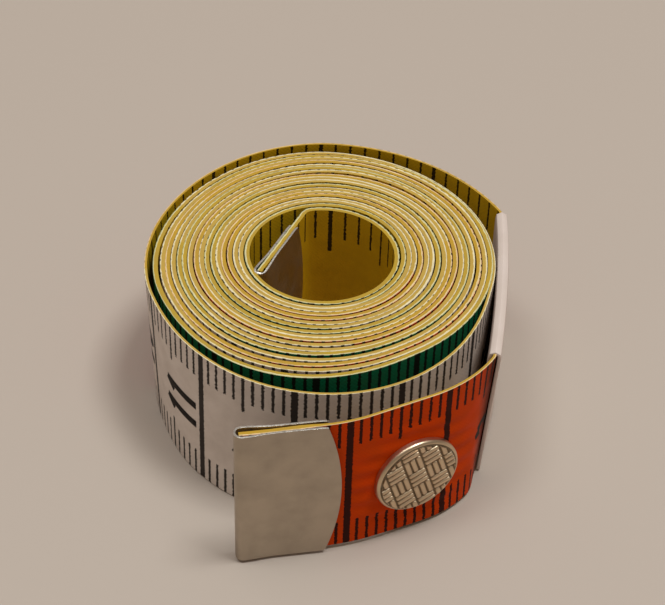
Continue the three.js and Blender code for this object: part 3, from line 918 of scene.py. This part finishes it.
def metal(name):
    """One of the brushed metals: a tint, the depth of its grain and its roughness."""
    colours = settings().colours
    made = {
        "clip_metal": (colours.steel, 0.25, 0.42),
        "cap_metal": (colours.cap, 0.1, 0.36),
        # Painted shade: a darker copy of the cap metal for the floor of the cap's grooves
        "groove_painted_shade_metal": ([0.35 * c for c in colours.cap], 0.1, 0.55),
        "snap_metal": (colours.bright, 0.1, 0.3),
    }
    return material_named(name, brushed_metal(*made[name]))


# Tape
def lay_tape(name, start, end, rows, route, slip=0.0, ripple=None):
    """A stretch of tape: a flat grid carried onto the route, with its thickness, print and cut edges."""
    tape = settings().tape
    obj, share = flat_grid(max(round((end - start) / tape.step), 8), rows)
    along = start + share[:, 0] * (end - start)
    up = share[:, 1] * tape.width
    middle = ripple(along, up) if ripple else np.zeros(len(along))
    move_vertices(obj.data, on_tape(route, along, up, middle))

    layer = obj.data.uv_layers.active
    layer.name = "tape"
    uv = np.empty(len(layer.data) * 2)
    layer.data.foreach_get("uv", uv)
    uv = uv.reshape(-1, 2) * (end - start, tape.width) + (start - slip, 0)
    layer.data.foreach_set("uv", (uv * 100).astype(np.float32).ravel())

    for made, make in (("tape_front", centimetre_face), ("tape_back", inch_face), ("tape_edge", cut_edge)):
        obj.data.materials.append(material_named(made, make))
    outer_count = len(obj.data.vertices)
    sides = {"material_offset": 1, "material_offset_rim": 2}
    apply_modifier(obj, "SOLIDIFY", thickness=tape.thickness, offset=0, **sides)
    half = tape_thickness(along) / 2
    faces = [on_tape(route, along, up, middle + side * half) for side in (-1, 1)]
    move_vertices(obj.data, np.concatenate(faces))
    inward = np.arange(len(obj.data.vertices)) >= outer_count
    obj.data.attributes.new("inward", "FLOAT", "POINT").data.foreach_set("value", inward.astype(np.float32))
    finish_piece(obj, name, None)
    return obj


def row_point(plan, up=0.0):
    return (plan.real, plan.imag, up)


def tape_marks(route):
    """Lengths at the tape's hinges, and where it is split into pieces."""
    tape, roll = settings().tape, settings().roll
    crease = route.nearest(crease_point())
    hinge = route.nearest(joint_place("inner_end_swing"))
    ahead = route.lengths > crease + 1.25 * TURN * roll.first_turn
    angles = np.angle(route.points[ahead] - roll_axis())
    return {
        "crease": crease,
        "sleeve": crease + tape.flap_past,
        "tight": route.lengths[ahead][np.argmax(np.diff(angles) < -math.pi)],
        "tail": hinge - tape.tail_lead,
        "hinge": hinge,
    }


def digit(character):
    """A flat digit of the numbers' height, centred on X = 0 and standing on Y = 0."""
    tape = settings().tape
    begin()
    if character == "1":
        strokes = []
        wide, high = tape.number_stroke, tape.number_height
        flag = 0.25 * high
        for size, middle, lean in (
            ((wide, high), (0, high / 2), 0.0),
            ((0.8 * wide, 1.25 * flag), (-0.3 * flag, high - 0.5 * flag), -math.pi / 6),
        ):
            bpy.ops.mesh.primitive_plane_add(size=1, location=(*middle, 0), rotation=(0, 0, lean))
            stroke = bpy.context.object
            stroke.scale = (*size, 1)
            bpy.ops.object.transform_apply(location=True, rotation=True, scale=True)
            strokes.append(stroke)
        piece = join_pieces(strokes)
    else:
        height_of_one = 0.73
        size = tape.number_height / height_of_one
        bpy.ops.object.text_add()
        text = bpy.context.object
        text.data.body = character
        text.data.align_x = "CENTER"
        # A coarse outline, because the thickened strokes of a fine one cross and aren't filled.
        text.data.resolution_u = 4
        text.data.offset = 0.2 * tape.number_stroke / size
        bpy.ops.object.convert(target="MESH")
        piece = bpy.context.object
        piece.scale = (0.9 * tape.number_pitch / piece.dimensions.x, size, size)
        bpy.ops.object.transform_apply(scale=True)
    set_mode("EDIT")
    slices = 14
    for cut in range(1, slices):
        bpy.ops.mesh.select_all(action="SELECT")
        height = (cut / slices) * tape.number_height
        bpy.ops.mesh.bisect(plane_co=(0, height, 0), plane_no=(0, 1, 0), threshold=1e-7)
    set_mode("OBJECT")
    return piece


def printed_numbers(name, values, route, slip=0.0):
    """The numbers of some centimetre lines, read upwards, each just before its line."""
    tape = settings().tape
    pieces = []
    for value in values:
        for place, character in enumerate(str(value)):
            piece = digit(character)
            flat = vertex_array(piece.data)
            along = value * 10 * MM + slip - tape.number_gap - flat[:, 1]
            beside = (place - (len(str(value)) - 1) / 2) * tape.number_pitch
            up = tape.width / 2 - tape.number_drop + beside + flat[:, 0]
            outside = -tape_thickness(along) / 2 - tape.print_lift
            move_vertices(piece.data, on_tape(route, along, up, outside))
            pieces.append(piece)
    return finish_piece(join_pieces(pieces), name, material_named("number_ink", printed_number))


class TAPE_OT_roll(bpy.types.Operator):
    """Winds the tape from the sleeve to the hole, with the numbers that show on its outer face"""

    bl_idname = "tape_measure.roll"
    bl_label = "Roll"

    def execute(self, context):
        route = tape_route()
        marks = tape_marks(route)
        slip = settings().tape.print_slip
        outer = lay_tape("tape_outer_turns", marks["sleeve"], marks["tight"], 6, route, slip)
        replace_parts(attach(outer, "roll"), "tape_roll")
        core = lay_tape("tape_tight_turns", marks["tight"], marks["tail"], 4, route, slip)
        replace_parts(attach(core, "roll"), "tape_roll")
        numbers = printed_numbers("roll_numbers", range(5, 16), route, slip)
        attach(numbers, "roll")
        return {"FINISHED"}


class TAPE_OT_flap(bpy.types.Operator):
    """Lays the closing flap, which bends at the crease and wrinkles round the press stud"""

    bl_idname = "tape_measure.flap"
    bl_label = "Closing flap"

    def execute(self, context):
        tape, snap, shape = settings().tape, settings().snap, settings().flap
        route = tape_route()
        marks = tape_marks(route)
        snap_along = route.nearest(snap_point())
        snap_up = tape.width / 2 - snap.drop

        def wrinkles(along, up):
            reach = np.hypot(along - snap_along, up - snap_up) / snap.cap_radius
            near = np.exp(-((reach - shape.wrinkle_ring) / shape.wrinkle_spread) ** 2)
            phase = (shape.wrinkle_rate * (up - snap_up) + shape.wrinkle_slant * along) / MM
            creased = shape.wrinkle * near * np.sin(phase)
            return creased - shape.swell * hump(along, *shape.swell_along) * (1 - up / tape.width) ** 2

        flap = lay_tape("tape_closing_flap", 0, marks["sleeve"], 40, route, ripple=wrinkles)
        held = row_point(route.at(marks["crease"] + tape.hinge_reach))
        free = row_point(route.at(marks["crease"] - tape.hinge_reach))
        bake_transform(flap)
        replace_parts(flap, "tape_flap")
        numbers = printed_numbers("flap_numbers", range(3, 4), route)
        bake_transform(numbers)
        return {"FINISHED"}


class TAPE_OT_inner_end(bpy.types.Operator):
    """Lays the inner end of the tape, which leaves the wall of the hole"""

    bl_idname = "tape_measure.inner_end"
    bl_label = "Inner end"

    def execute(self, context):
        tape = settings().tape
        route = tape_route()
        marks = tape_marks(route)
        end = route.lengths[-1]
        tail = lay_tape("tape_inner_tail", marks["tail"], end, 6, route, tape.print_slip)
        held = row_point(route.at(marks["hinge"] - tape.hinge_reach))
        free = row_point(route.at(marks["hinge"] + tape.hinge_reach))
        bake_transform(tail)
        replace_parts(tail, "tape_inner_end")
        return {"FINISHED"}


# Sleeve
class TAPE_OT_sleeve(bpy.types.Operator):
    """Folds a stiff white strip over the side stretch of the tape"""

    bl_idname = "tape_measure.sleeve"
    bl_label = "Sleeve"

    def execute(self, context):
        tape, sleeve = settings().tape, settings().sleeve
        route = Route(side_line()).even(ROUTE_STEP)
        middle, foot = sleeve.half - sleeve.wall / 2, sleeve.foot_half - sleeve.wall / 2
        roof = tape.width + sleeve.rise - sleeve.wall / 2
        leg = roof - middle - sleeve.foot
        girth = 2 * leg + math.pi * middle
        obj, share = flat_grid(48, 72)
        along = sleeve.margin + share[:, 0] * (route.lengths[-1] - 2 * sleeve.margin)
        round_strip = share[:, 1] * girth
        over = np.clip((round_strip - leg) / middle, 0, math.pi)
        past_roof = np.maximum(round_strip - leg - math.pi * middle, 0)
        down = np.where(round_strip < leg, leg - round_strip, past_roof)
        across = -np.cos(over) * (middle + (foot - middle) * smooth_step(0, 0.6 * leg, down))
        up = roof - middle + middle * np.sin(over) - down
        places = route.place(along, across, up)
        places[:, :2] += side_lean(along, up, 0.0, route.lengths[-1])
        move_vertices(obj.data, places)
        apply_modifier(obj, "SOLIDIFY", thickness=sleeve.wall, offset=0)
        apply_modifier(obj, "BEVEL", width=0.05 * MM, segments=2, limit_method="ANGLE")
        finish_piece(obj, "white_fold", material_named("sleeve_vinyl", sleeve_vinyl))
        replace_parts(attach(obj, "roll"), "white_sleeve")
        return {"FINISHED"}


# Clips
def select_corner_edges(obj, side):
    """In edit mode, selects a block's edges along Y whose X passes a test."""
    set_mode("OBJECT")
    mesh = obj.data
    mesh.vertices.foreach_set("select", np.zeros(len(mesh.vertices), bool))
    mesh.polygons.foreach_set("select", np.zeros(len(mesh.polygons), bool))
    for edge in mesh.edges:
        first, last = (mesh.vertices[i].co for i in edge.vertices)
        edge.select = side(first.x) and abs(first.y - last.y) > 0.9 * obj.dimensions.y
    set_mode("EDIT")
    bpy.ops.mesh.select_mode(type="EDGE")


def fold_clip(name, bottom, top, end, heading, gap):
    """Sheet metal folded round the tape's end, with a gap for the tape, which locally runs along X."""
    clip = settings().clip
    radius = (gap + clip.sheet) / 2
    height, middle = top - bottom, (top + bottom) / 2
    columns = 12
    begin()
    upright = (math.pi / 2, 0, 0)
    bpy.ops.mesh.primitive_grid_add(x_subdivisions=columns, y_subdivisions=2, size=1, rotation=upright)
    obj = bpy.context.object
    obj.scale = (clip.length, 1.1 * height, 1)
    obj.location = (clip.length / 2, radius, middle)
    bpy.ops.object.transform_apply(location=True, rotation=True, scale=True)
    set_mode("EDIT")
    select_vertices(obj, lambda place: place.x < 0.01 * MM)
    bpy.ops.mesh.spin(steps=16, angle=-math.pi, center=(0, 0, 0), axis=(0, 0, 1))
    for step in range(columns):
        bpy.ops.mesh.extrude_region_move(TRANSFORM_OT_translate={"value": (clip.length / columns, 0, 0)})
    select_vertices(obj, lambda place: place.x < 0.01 * MM)
    bpy.ops.transform.resize(value=(clip.bead, clip.bead, 1), center_override=(0, 0, 0))
    for step in range(1, columns):
        column = step * clip.length / columns
        swelling = 1 + (clip.bead - 1) * (1 - smooth_step(0, clip.bead_reach, column))
        select_vertices(obj, lambda place: abs(place.x - column) < 0.1 * MM)
        bpy.ops.transform.resize(value=(1, swelling, 1), center_override=(0, 0, 0))
    bpy.ops.mesh.select_all(action="SELECT")
    bpy.ops.mesh.remove_doubles(threshold=0.002 * MM)
    bpy.ops.mesh.normals_make_consistent(inside=False)
    set_mode("OBJECT")
    apply_modifier(obj, "SOLIDIFY", thickness=clip.sheet, offset=0)

    curve = (height ** 2 / 4 + clip.arch ** 2) / (2 * clip.arch)
    depth = 12 * radius
    begin()
    bpy.ops.mesh.primitive_cylinder_add(
        vertices=360, radius=curve, depth=depth, rotation=upright, location=(clip.length - curve, 0, middle)
    )
    arch = bpy.context.object
    begin()
    bpy.ops.mesh.primitive_cube_add(size=1)
    block = bpy.context.object
    low = -clip.bead * radius - clip.sheet
    block.scale = (clip.length - low, depth, height)
    block.location = ((clip.length + low) / 2, 0, middle)
    bpy.ops.object.transform_apply(location=True, rotation=True, scale=True)
    set_mode("EDIT")
    select_corner_edges(block, lambda x: x < 0)
    bpy.ops.mesh.bevel(offset=clip.fold_corner, segments=6)
    select_corner_edges(block, lambda x: x > 0.99 * clip.length)
    bpy.ops.mesh.bevel(offset=clip.arch_corner, segments=10)
    set_mode("OBJECT")
    keep_inside(obj, arch)
    keep_inside(obj, block)
    sharp = math.radians(50)
    apply_modifier(obj, "BEVEL", width=0.06 * MM, segments=3, limit_method="ANGLE", angle_limit=sharp)
    shift = Matrix.Translation((clip.tuck, 0, 0))
    put(obj, Matrix.Translation(row_point(end)) @ Matrix.Rotation(heading, 4, "Z") @ shift)
    finish_piece(obj, name, metal("clip_metal"), 40)
    obj.data.materials.append(material_named("sheared_metal", sheared_metal))
    # The cut edges facing up and down get the bright tint, in part a painted glint.
    for face in obj.data.polygons:
        face.material_index = int(abs(face.normal.z) > 0.6)
    return obj


class TAPE_OT_clips(bpy.types.Operator):
    """Folds the two metal end clips"""

    bl_idname = "tape_measure.clips"
    bl_label = "End clips"

    def execute(self, context):
        tape, clip, flap = settings().tape, settings().clip, settings().flap
        outer_end = flap_line()[0]
        top = flap.lift + tape.width + clip.lip
        bottom, gap = flap.lift - clip.overhang, tape.thickness + 2 * clip.air
        outer = fold_clip("folded_outer_clip", bottom, top, outer_end, flap.clip_heading, gap)
        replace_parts(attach(outer, "closing_flap"), "outer_end_clip")
        line = tab_line()
        back = np.angle(line[0] - line[-1])
        top, gap = tape.width + clip.inner_lip, tape.thickness + 2 * clip.inner_air
        inner = fold_clip("folded_inner_clip", 0.0, top, line[-1], back, gap)
        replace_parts(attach(inner, "inner_end"), "inner_end_clip")
        return {"FINISHED"}


# Press stud
def snap_frame(point, outward):
    """Place of the press stud at a point of the tape: local X along the tape, Y up and Z outwards."""
    flap, tape, snap = settings().flap, settings().tape, settings().snap
    along = 1j * outward
    matrix = Matrix(((along.real, 0, outward.real), (along.imag, 0, outward.imag), (0, 1, 0))).to_4x4()
    return Matrix.Translation(row_point(point, flap.lift + tape.width / 2 - snap.drop)) @ matrix


def basket_weave(face):
    """Raised strands in blocks that alternate in direction, trimmed to the round face of a given height."""
    snap = settings().snap
    pitch_across = snap.strand / snap.strands
    begin()
    bpy.ops.mesh.primitive_cube_add(size=1)
    model = bpy.context.object
    thick = 3 * snap.strand_relief
    model.scale = (snap.strand - snap.strand_gap, pitch_across - snap.strand_gap, thick)
    bpy.ops.object.transform_apply(scale=True)
    apply_modifier(model, "BEVEL", width=0.8 * snap.strand_relief, segments=3, limit_method="NONE")
    blocks = math.ceil(snap.cap_radius / snap.strand)
    strands = []
    for row in range(-blocks, blocks + 1):
        for column in range(-blocks, blocks + 1):
            middle = Matrix.Translation(Vector((column, row, 0)) * snap.strand)
            quarter = Matrix.Rotation(math.pi / 2 * ((row + column) % 2), 4, "Z")
            for strand in range(snap.strands):
                shift = (strand - (snap.strands - 1) / 2) * pitch_across
                piece = model.copy()
                piece.data = model.data.copy()
                bpy.context.collection.objects.link(piece)
                level = face + snap.strand_relief - thick / 2
                put(piece, middle @ quarter @ Matrix.Translation((0, shift, level)))
                strands.append(piece)
    bpy.data.objects.remove(model)
    weave = join_pieces(strands)
    put(weave, Matrix.Rotation(snap.weave_turn, 4, "Z"))
    begin()
    bpy.ops.mesh.primitive_cylinder_add(
        vertices=96, radius=snap.cap_radius - 1.25 * snap.cap_round, depth=4 * thick, location=(0, 0, face)
    )
    keep_inside(weave, bpy.context.object)
    return weave


def dome_edge(radius, low, high, rounding, steps=8):
    """Profile of a rim that rounds over from an upright side to a flat face."""
    points = [(radius - 0.15 * MM, low), (radius, low + 0.1 * MM)]
    for i in range(steps + 1):
        turn = i / steps * math.pi / 2
        inward, drop = 1 - math.cos(turn), 1 - math.sin(turn)
        points.append((radius - rounding * inward, high - rounding * drop))
    return points


def snap_piece(name, outline, rounding, segments, place):
    """A turned piece of plain metal, with its corners rounded, moved to its place."""
    piece = turned_piece(rounded_corners(outline, rounding, segments), 80)
    put(piece, place)
    return finish_piece(piece, name, metal("snap_metal"), 40)


class TAPE_OT_press_stud(bpy.types.Operator):
    """Turns the press stud: patterned cap and socket on the flap, stud and eyelet on the second turn"""

    bl_idname = "tape_measure.press_stud"
    bl_label = "Press stud"

    def execute(self, context):
        tape, snap = settings().tape, settings().snap
        cloth = tape.loose_thickness / 2
        seat, seat_outward = stud_seat()
        on_flap, on_turn = snap_frame(snap_point(), snap_outward()), snap_frame(seat, seat_outward)
        face = cloth + snap.cap_height - snap.strand_relief
        outline = [*dome_edge(snap.cap_radius, cloth, face, snap.cap_round), (0, face)]
        base, weave = turned_piece(outline, 96), basket_weave(face)
        base.data.materials.append(metal("cap_metal"))
        # The flat face under the strands shows only in the grooves and gets the darker copy of the cap metal,
        # as painted shade.
        base.data.materials.append(metal("groove_painted_shade_metal"))
        for polygon in base.data.polygons:
            polygon.material_index = int(polygon.center.z > face - 0.01 * MM)
        weave.data.materials.clear()
        weave.data.materials.append(metal("cap_metal"))
        cap = join_pieces([base, weave])
        put(cap, on_flap)
        finish_piece(cap, "patterned_cap", None, 40)
        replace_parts(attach(cap, "closing_flap"), "snap_cap")

        outer, mouth, low = snap.socket_radius, snap.mouth_radius, -cloth - snap.socket_height
        step, shoulder = low + snap.sheet, low + 2 * snap.sheet
        throat, lip, lip_foot = (mouth + wider * MM for wider in (0.5, 0.9, 1.2))
        outline = [
            (throat, -cloth), (throat, shoulder), (mouth, step), (mouth, low), (lip, low), (lip_foot, step),
            (outer - 2 * snap.sheet, step), (outer, shoulder), (outer, -cloth),
        ]
        socket = snap_piece("ring_socket", outline, 0.15 * MM, 3, on_flap)
        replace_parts(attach(socket, "closing_flap"), "snap_socket")

        air, prong = 0.1 * MM, 0.2 * MM
        bore, barrel, brim = throat + air, throat + air + prong, outer - 0.7 * MM
        under, over = cloth + air, cloth + air + snap.sheet
        outline = [
            (bore, shoulder), (bore, under), (brim, under), (brim, over), (barrel, over), (barrel, shoulder),
        ]
        ring = snap_piece("prong_ring", outline, 0.08 * MM, 3, on_flap)
        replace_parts(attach(ring, "closing_flap"), "cap_prong_ring")

        head, flange = snap.head_radius, snap.flange_radius
        sunk, waist, dimple, dimple_radius = 0.3 * MM, cloth + 0.8 * MM, 0.12 * MM, 0.4 * MM
        crown = abs(snap_point() - seat) - cloth - snap.head_air
        outline = [
            (flange, cloth - sunk), (flange, over), (head - 0.1 * MM, over), (head - 0.3 * MM, waist),
            (head, crown - 0.5 * MM), (head - 0.2 * MM, crown), (dimple_radius, crown), (0, crown - dimple),
        ]
        stud = snap_piece("ball_stud", outline, 0.25 * MM, 4, on_turn)
        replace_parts(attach(stud, "roll"), "snap_stud")

        back, hole = -cloth - snap.eyelet_height, 0.8 * MM
        outline = [
            (0, back), (hole, back), (hole + 0.1 * MM, back - 0.1 * MM),
            (flange - 0.3 * MM, back), (flange, -cloth),
        ]
        eyelet = snap_piece("back_eyelet", outline, 0.2 * MM, 4, on_turn)
        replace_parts(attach(eyelet, "roll"), "stud_eyelet")

        spring = frame["nodes"]["snap_spring"]
        spring.data.materials.clear()
        spring.data.materials.append(metal("snap_metal"))
        return {"FINISHED"}


# Stage
def floor_paint(nodes, shader):
    place = nodes.place()
    shade = nodes.spread(nodes.noise(place, 9.0, 3.0), 0.3, 0.7, 0.0, 0.05)
    base = opaque(settings().colours.floor)
    nodes.fill(shader, {"Base Color": nodes.mix(shade, base, FLOOR_SHADE), "Roughness": 0.6})


class TAPE_OT_stage(bpy.types.Operator):
    """Adds the floor, the soft light and the camera"""

    bl_idname = "tape_measure.stage"
    bl_label = "Stage"

    def execute(self, context):
        stage = settings().stage
        axis = Vector(row_point(roll_axis()))
        begin()
        bpy.ops.mesh.primitive_plane_add(size=stage.floor, location=(0, 0, -0.02 * MM))
        floor = bpy.context.object
        bpy.ops.object.transform_apply(location=True)
        finish_piece(floor, "floor", material_named("floor_paint", floor_paint))

        lamps = {
            "left_lamp": (-stage.lamp_aside, -stage.lamp_front, stage.lamp, stage.left_power),
            "right_lamp": (stage.lamp_aside, -stage.lamp_front, stage.lamp, stage.right_power),
            "ceiling_lamp": (0.0, 0.0, stage.ceiling, stage.ceiling_power),
        }
        for name, (aside, back, size, power) in lamps.items():
            bpy.ops.object.light_add(type="AREA", location=axis + Vector((aside, back, stage.lamp_height)))
            lamp = bpy.context.object
            lamp.name = name
            lamp.rotation_euler = (lamp.location - axis).to_track_quat("Z", "Y").to_euler()
            lamp.data.size = size
            lamp.data.energy = power
            lamp.data.color = LAMP_LIGHT

        world = bpy.data.worlds.new("room")
        context.scene.world = world
        world.use_nodes = True
        background = world.node_tree.nodes["Background"]
        Nodes(world.node_tree).fill(background, {"Color": ROOM_LIGHT, "Strength": stage.world})

        bpy.ops.object.camera_add(location=axis + Vector((0, -stage.eye_back, stage.eye_height)))
        camera = bpy.context.object
        turn = Matrix.Rotation(-stage.pan, 4, "Z") @ Matrix.Rotation(math.pi / 2 - stage.tilt, 4, "X")
        camera.rotation_euler = (turn @ Matrix.Rotation(stage.roll, 4, "Z")).to_euler()
        camera.data.lens = stage.lens
        camera.data.sensor_width = stage.sensor
        camera.data.clip_start = 5 * MM
        context.scene.camera = camera
        context.scene.view_settings.view_transform = "Standard"
        return {"FINISHED"}


class TAPE_PT_panel(bpy.types.Panel):
    """Lists the steps that build the tape measure"""

    bl_idname = "TAPE_PT_panel"
    bl_label = "Tape measure"
    bl_space_type = "VIEW_3D"
    bl_region_type = "UI"
    bl_category = "Tape measure"

    def draw(self, context):
        for operator in OPERATORS:
            self.layout.operator(operator.bl_idname)


OPERATORS = (
    TAPE_OT_stage, TAPE_OT_roll, TAPE_OT_flap, TAPE_OT_inner_end, TAPE_OT_sleeve, TAPE_OT_clips,
    TAPE_OT_press_stud,
)
GROUPS = (
    TapeSettings, RollSettings, FlapSettings, ClipSettings, SnapSettings, SleeveSettings, ColourSettings,
    StageSettings, TapeMeasureSettings,
)


def register():
    for cls in (*GROUPS, *OPERATORS, TAPE_PT_panel):
        bpy.utils.register_class(cls)
    bpy.types.Scene.tape_measure = PointerProperty(type=TapeMeasureSettings)


def unregister():
    del bpy.types.Scene.tape_measure
    for cls in reversed((*GROUPS, *OPERATORS, TAPE_PT_panel)):
        bpy.utils.unregister_class(cls)


def main():
    register()
    for operator in OPERATORS:
        group, name = operator.bl_idname.split(".")
        getattr(getattr(bpy.ops, group), name)()


if __name__ == "__main__":
    main()
